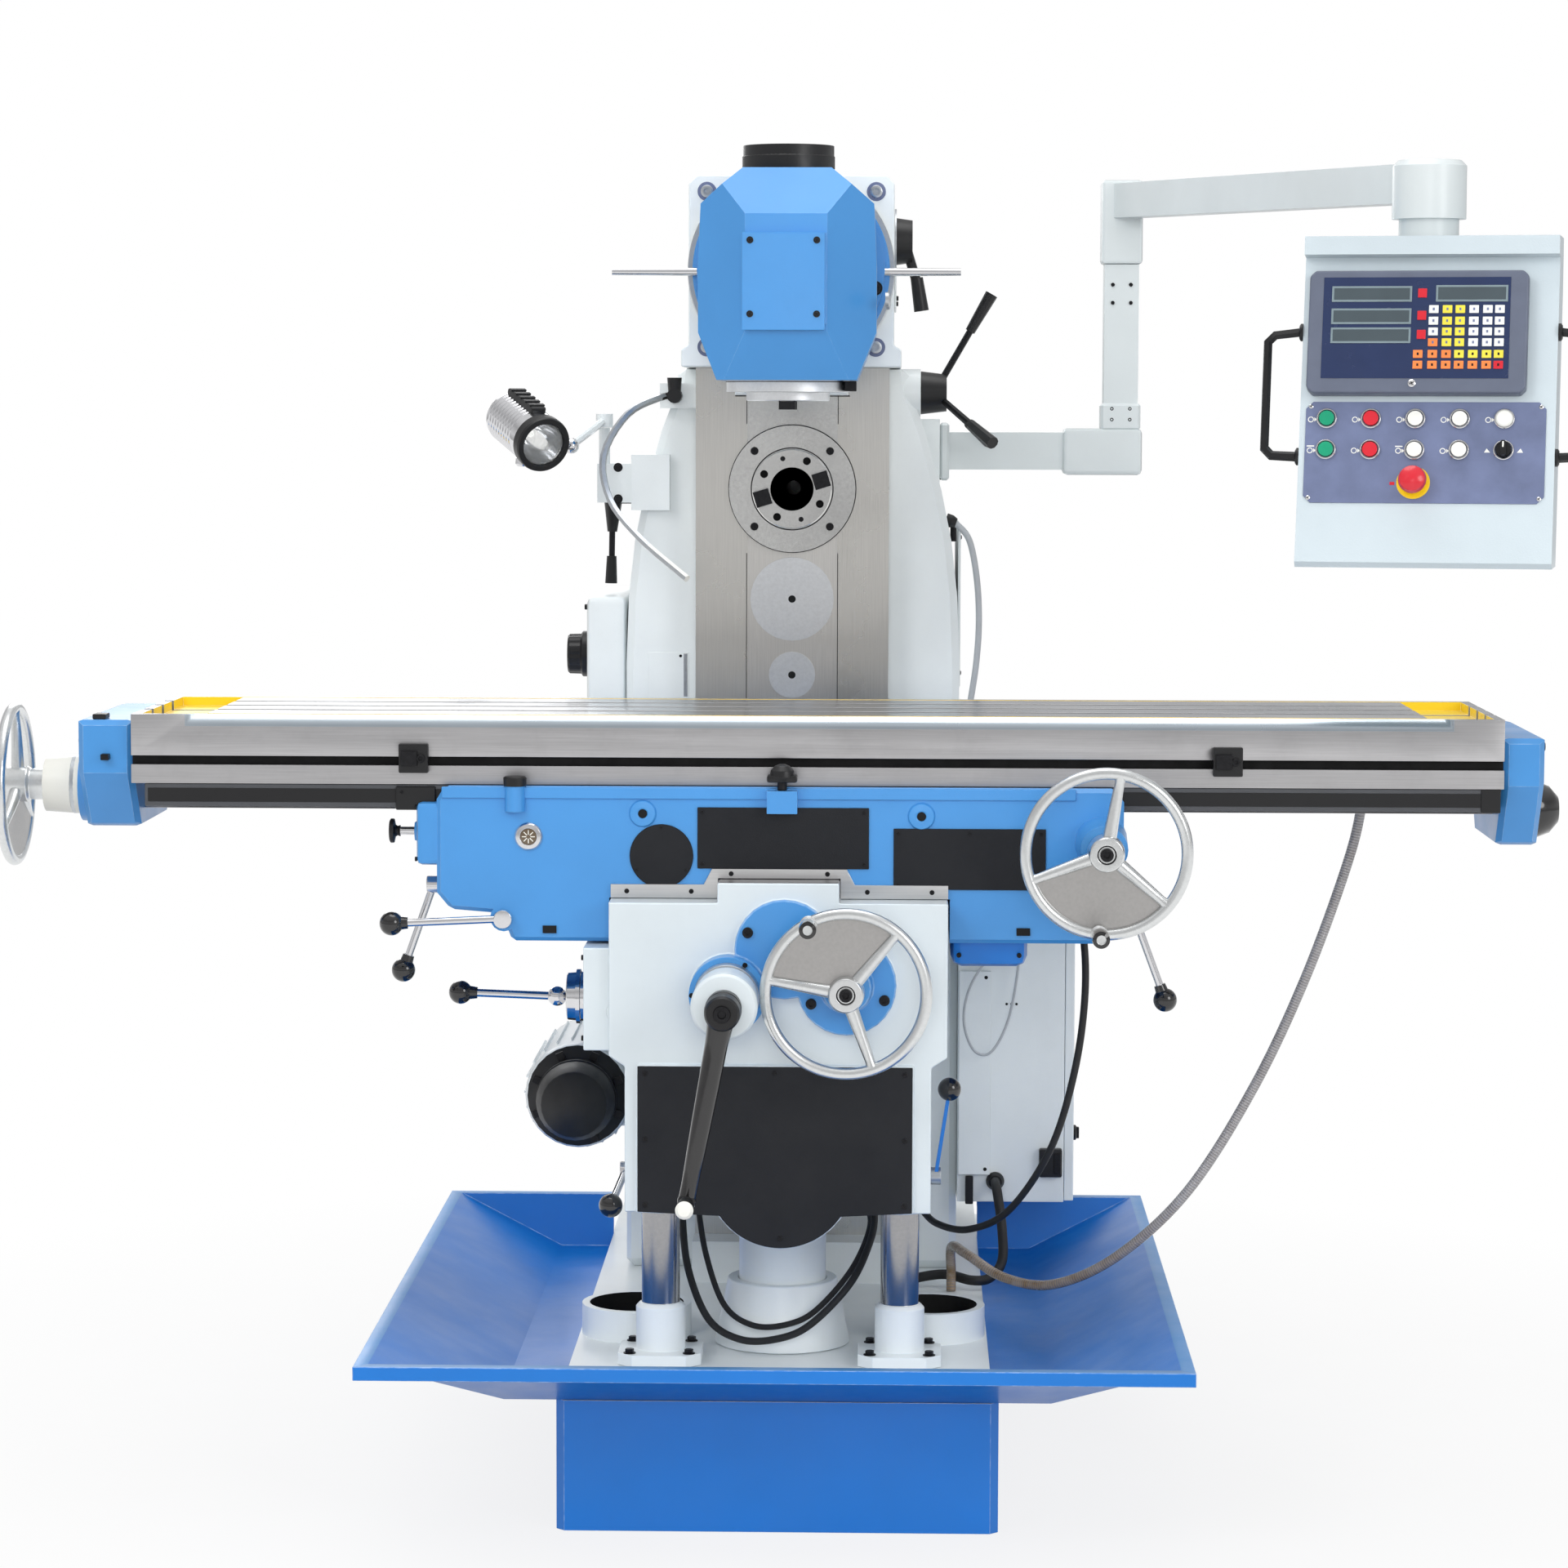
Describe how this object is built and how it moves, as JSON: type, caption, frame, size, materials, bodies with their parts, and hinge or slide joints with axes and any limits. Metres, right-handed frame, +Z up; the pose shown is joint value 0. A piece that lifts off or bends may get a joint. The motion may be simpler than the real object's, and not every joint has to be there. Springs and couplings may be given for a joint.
{
  "type": "knee-type universal milling machine",
  "caption": "Knee-type milling machine with a swivelling vertical head on a ram, a horizontal spindle, a long slotted table, handwheels, a chip tray and a swinging control pendant.",
  "frame": {"origin": "on the floor, under the front face of the column ways, in the plane of both spindles", "axes": "+X to the operator's right along the table, +Y back from the operator through the column, +Z up"},
  "size_m": [2.4, 2.0955, 2.036],
  "materials": {
    "cast_blue": "blue enamel on cast iron",
    "tray_blue": "deep blue enamel",
    "cast_pale": "pale grey-green enamel",
    "ground_steel": "ground",
    "chrome": "polished",
    "black_plastic": "satin black",
    "rubber": "smooth",
    "clear_hose": "translucent with a spiral wire",
    "red": "gloss",
    "green": "gloss",
    "white": "gloss",
    "alloy": "cast and polished"
  },
  "bodies": {
    "machine": {"base": "tray_blue", "chip_tray": "tray_blue", "column": "cast_pale", "main_motor": "cast_blue", "electrical_cabinet": "cast_pale", "guide_post_left": "chrome", "guide_post_right": "chrome", "screw_housing": "cast_pale", "elevating_screw": "ground_steel", "speed_change_box": "cast_pale", "coolant_gooseneck": "cast_pale", "pendant_support_arm": "cast_pale", "coolant_drain_hose": "clear_hose", "saddle_conduit": "rubber", "knee_hose": "rubber", "motor_cable": "rubber"},
    "horizontal_spindle": {"horizontal_spindle": "ground_steel"},
    "speed_dial": {"speed_dial": "black_plastic"},
    "gear_shift_lever": {"gear_shift_lever": "black_plastic"},
    "ram_capstan": {"ram_capstan": "black_plastic"},
    "cabinet_door": {"cabinet_door": "cast_pale"},
    "lamp_arm": {"lamp_arm": "chrome"},
    "lamp_head": {"lamp_head": "chrome"},
    "pendant_arm": {"pendant_arm": "cast_pale"},
    "pendant": {"pendant_box": "cast_pale", "dro_console": "cast_pale"},
    "ram": {"ram": "cast_pale"},
    "head": {"head_housing": "cast_blue"},
    "vertical_spindle": {"vertical_spindle": "ground_steel"},
    "head_speed_lever": {"head_speed_lever": "black_plastic"},
    "knee": {"knee": "cast_pale", "screw_tube": "cast_pale", "feed_motor": "cast_pale"},
    "cross_handwheel": {"cross_handwheel": "alloy"},
    "knee_crank": {"knee_crank": "black_plastic"},
    "post_clamp_left": {"post_clamp_left": "black_plastic"},
    "post_clamp_right": {"post_clamp_right": "black_plastic"},
    "feed_joystick": {"feed_joystick": "black_plastic"},
    "saddle": {"saddle": "cast_blue"},
    "front_handwheel": {"front_handwheel": "alloy"},
    "saddle_lever_a": {"saddle_lever_a": "black_plastic"},
    "saddle_lever_b": {"saddle_lever_b": "black_plastic"},
    "saddle_lever_c": {"saddle_lever_c": "black_plastic"},
    "lube_pump": {"lube_pump_knob": "black_plastic"},
    "trip_lever": {"trip_lever": "black_plastic"},
    "table": {"table": "ground_steel", "table_bracket_left": "cast_blue", "table_bracket_right": "cast_blue"},
    "lead_screw": {"lead_screw": "ground_steel", "left_handwheel": "alloy"},
    "selector": {"selector_switch": "black_plastic"},
    "emergency_stop": {"emergency_stop": "red"},
    "push_button_start_1": {"push_button_start_1": "green"},
    "push_button_stop_1": {"push_button_stop_1": "red"},
    "push_button_jog_1": {"push_button_jog_1": "white"},
    "push_button_jog_2": {"push_button_jog_2": "white"},
    "push_button_start_2": {"push_button_start_2": "green"},
    "push_button_stop_2": {"push_button_stop_2": "red"},
    "push_button_jog_3": {"push_button_jog_3": "white"},
    "push_button_jog_4": {"push_button_jog_4": "white"}
  },
  "joints": [
    {"name": "knee_slide", "type": "slide", "parent": "machine", "child": "knee", "axis": [0, 0, 1], "range_m": [-0.12, 0.16], "deforming": ["coolant_drain_hose", "saddle_conduit", "knee_hose"]},
    {"name": "saddle_slide", "type": "slide", "parent": "knee", "child": "saddle", "axis": [0, 1, 0], "range_m": [0, 0.25], "deforming": ["coolant_drain_hose", "saddle_conduit"]},
    {"name": "table_slide", "type": "slide", "parent": "saddle", "child": "table", "axis": [1, 0, 0], "range_m": [-0.52, 0.4], "deforming": ["coolant_drain_hose"]},
    {"name": "ram_slide", "type": "slide", "parent": "machine", "child": "ram", "axis": [0, -1, 0], "range_m": [0, 0.45]},
    {"name": "head_tilt", "type": "hinge", "parent": "ram", "child": "head", "pos_m": [0, -0.1, 1.852], "axis": [0, 1, 0], "range_deg": [-45, 45]},
    {"name": "vertical_spindle_spin", "type": "hinge", "parent": "head", "child": "vertical_spindle", "pos_m": [0, -0.3, 1.75], "axis": [0, 0, 1], "continuous": true},
    {"name": "horizontal_spindle_spin", "type": "hinge", "parent": "machine", "child": "horizontal_spindle", "pos_m": [0, -0.02, 1.506], "axis": [0, 1, 0], "continuous": true},
    {"name": "head_speed_lever_turn", "type": "hinge", "parent": "ram", "child": "head_speed_lever", "pos_m": [0.175, 0.02, 1.903], "axis": [1, 0, 0], "range_deg": [-40, 40]},
    {"name": "ram_capstan_turn", "type": "hinge", "parent": "machine", "child": "ram_capstan", "pos_m": [0.207, 0.095, 1.661], "axis": [1, 0, 0], "continuous": true},
    {"name": "speed_dial_turn", "type": "hinge", "parent": "machine", "child": "speed_dial", "pos_m": [-0.3425, 0.2, 1.227], "axis": [1, 0, 0], "range_deg": [-150, 150]},
    {"name": "gear_shift_lever_swing", "type": "hinge", "parent": "machine", "child": "gear_shift_lever", "pos_m": [-0.28, 0.14, 1.497], "axis": [1, 0, 0], "range_deg": [-25, 25]},
    {"name": "cabinet_door_swing", "type": "hinge", "parent": "machine", "child": "cabinet_door", "pos_m": [0.4475, 0.548, 0.72], "axis": [0, 0, 1], "range_deg": [0, 100]},
    {"name": "lamp_arm_swing", "type": "hinge", "parent": "machine", "child": "lamp_arm", "pos_m": [-0.307, 0.055, 1.6035], "axis": [0, 0, 1], "range_deg": [-60, 10]},
    {"name": "lamp_tilt", "type": "hinge", "parent": "lamp_arm", "child": "lamp_head", "pos_m": [-0.352, -0.075, 1.575], "axis": [1, 0, 0], "range_deg": [-40, 40]},
    {"name": "pendant_arm_swing", "type": "hinge", "parent": "machine", "child": "pendant_arm", "pos_m": [0.542, 0.3, 1.9], "axis": [0, 0, 1], "range_deg": [-30, 60]},
    {"name": "pendant_swivel", "type": "hinge", "parent": "pendant_arm", "child": "pendant", "pos_m": [0.926, -0.75, 1.8805], "axis": [0, 0, 1], "range_deg": [-75, 75]},
    {"name": "push_button_start_1_press", "type": "slide", "parent": "pendant", "child": "push_button_start_1", "axis": [0.1844, 0.9485, -0.2577], "range_m": [0, 0.004], "stiffness_N_per_m": 600},
    {"name": "push_button_stop_1_press", "type": "slide", "parent": "pendant", "child": "push_button_stop_1", "axis": [0.1844, 0.9485, -0.2577], "range_m": [0, 0.004], "stiffness_N_per_m": 600},
    {"name": "push_button_jog_1_press", "type": "slide", "parent": "pendant", "child": "push_button_jog_1", "axis": [0.1844, 0.9485, -0.2577], "range_m": [0, 0.004], "stiffness_N_per_m": 600},
    {"name": "push_button_jog_2_press", "type": "slide", "parent": "pendant", "child": "push_button_jog_2", "axis": [0.1844, 0.9485, -0.2577], "range_m": [0, 0.004], "stiffness_N_per_m": 600},
    {"name": "push_button_start_2_press", "type": "slide", "parent": "pendant", "child": "push_button_start_2", "axis": [0.1844, 0.9485, -0.2577], "range_m": [0, 0.004], "stiffness_N_per_m": 600},
    {"name": "push_button_stop_2_press", "type": "slide", "parent": "pendant", "child": "push_button_stop_2", "axis": [0.1844, 0.9485, -0.2577], "range_m": [0, 0.004], "stiffness_N_per_m": 600},
    {"name": "push_button_jog_3_press", "type": "slide", "parent": "pendant", "child": "push_button_jog_3", "axis": [0.1844, 0.9485, -0.2577], "range_m": [0, 0.004], "stiffness_N_per_m": 600},
    {"name": "push_button_jog_4_press", "type": "slide", "parent": "pendant", "child": "push_button_jog_4", "axis": [0.1844, 0.9485, -0.2577], "range_m": [0, 0.004], "stiffness_N_per_m": 600},
    {"name": "emergency_stop_press", "type": "slide", "parent": "pendant", "child": "emergency_stop", "axis": [0.1844, 0.9485, -0.2577], "range_m": [0, 0.006], "stiffness_N_per_m": 700},
    {"name": "selector_turn", "type": "hinge", "parent": "pendant", "child": "selector", "pos_m": [1.01673, -0.90061, 1.5785], "axis": [-0.1844, -0.9485, 0.2577], "range_deg": [-45, 45]},
    {"name": "cross_handwheel_turn", "type": "hinge", "parent": "knee", "child": "cross_handwheel", "pos_m": [0.099, -0.9, 0.806], "axis": [0, 1, 0], "continuous": true},
    {"name": "knee_crank_turn", "type": "hinge", "parent": "knee", "child": "knee_crank", "pos_m": [-0.072, -0.95, 0.795], "axis": [0, 1, 0], "continuous": true},
    {"name": "post_clamp_left_turn", "type": "hinge", "parent": "knee", "child": "post_clamp_left", "pos_m": [-0.2305, -0.64, 0.505], "axis": [1, 0, 0], "range_deg": [-30, 50]},
    {"name": "post_clamp_right_turn", "type": "hinge", "parent": "knee", "child": "post_clamp_right", "pos_m": [0.2305, -0.64, 0.5], "axis": [1, 0, 0], "range_deg": [-40, 40]},
    {"name": "feed_joystick_tilt", "type": "hinge", "parent": "knee", "child": "feed_joystick", "pos_m": [-0.3335, -0.62, 0.763], "axis": [0, 1, 0], "range_deg": [-14, 14]},
    {"name": "front_handwheel_turn", "type": "hinge", "parent": "saddle", "child": "front_handwheel", "pos_m": [0.467, -0.9, 1.008], "axis": [0, 1, 0], "continuous": true},
    {"name": "saddle_lever_a_turn", "type": "hinge", "parent": "saddle", "child": "saddle_lever_a", "pos_m": [-0.402, -0.753, 0.894], "axis": [0, 1, 0], "range_deg": [-20, 20]},
    {"name": "saddle_lever_b_turn", "type": "hinge", "parent": "saddle", "child": "saddle_lever_b", "pos_m": [-0.5125, -0.66, 0.934], "axis": [1, 0, 0], "range_deg": [-30, 30]},
    {"name": "saddle_lever_c_turn", "type": "hinge", "parent": "saddle", "child": "saddle_lever_c", "pos_m": [0.516, -0.66, 0.905], "axis": [1, 0, 0], "range_deg": [-30, 30]},
    {"name": "lube_pump_pull", "type": "slide", "parent": "saddle", "child": "lube_pump", "axis": [-1, 0, 0], "range_m": [0, 0.028], "stiffness_N_per_m": 400},
    {"name": "trip_lever_turn", "type": "hinge", "parent": "saddle", "child": "trip_lever", "pos_m": [0.004, -0.75, 1.0835], "axis": [0, 0, 1], "range_deg": [-30, 30]},
    {"name": "lead_screw_turn", "type": "hinge", "parent": "table", "child": "lead_screw", "pos_m": [0, -0.52, 1.0676], "axis": [1, 0, 0], "continuous": true}
  ],
  "couplings": [
    {"joint": "front_handwheel_turn", "follows": "lead_screw_turn", "ratio": 1},
    {"joint": "ram_capstan_turn", "follows": "ram_slide", "rad_per_m": 37.04}
  ]
}
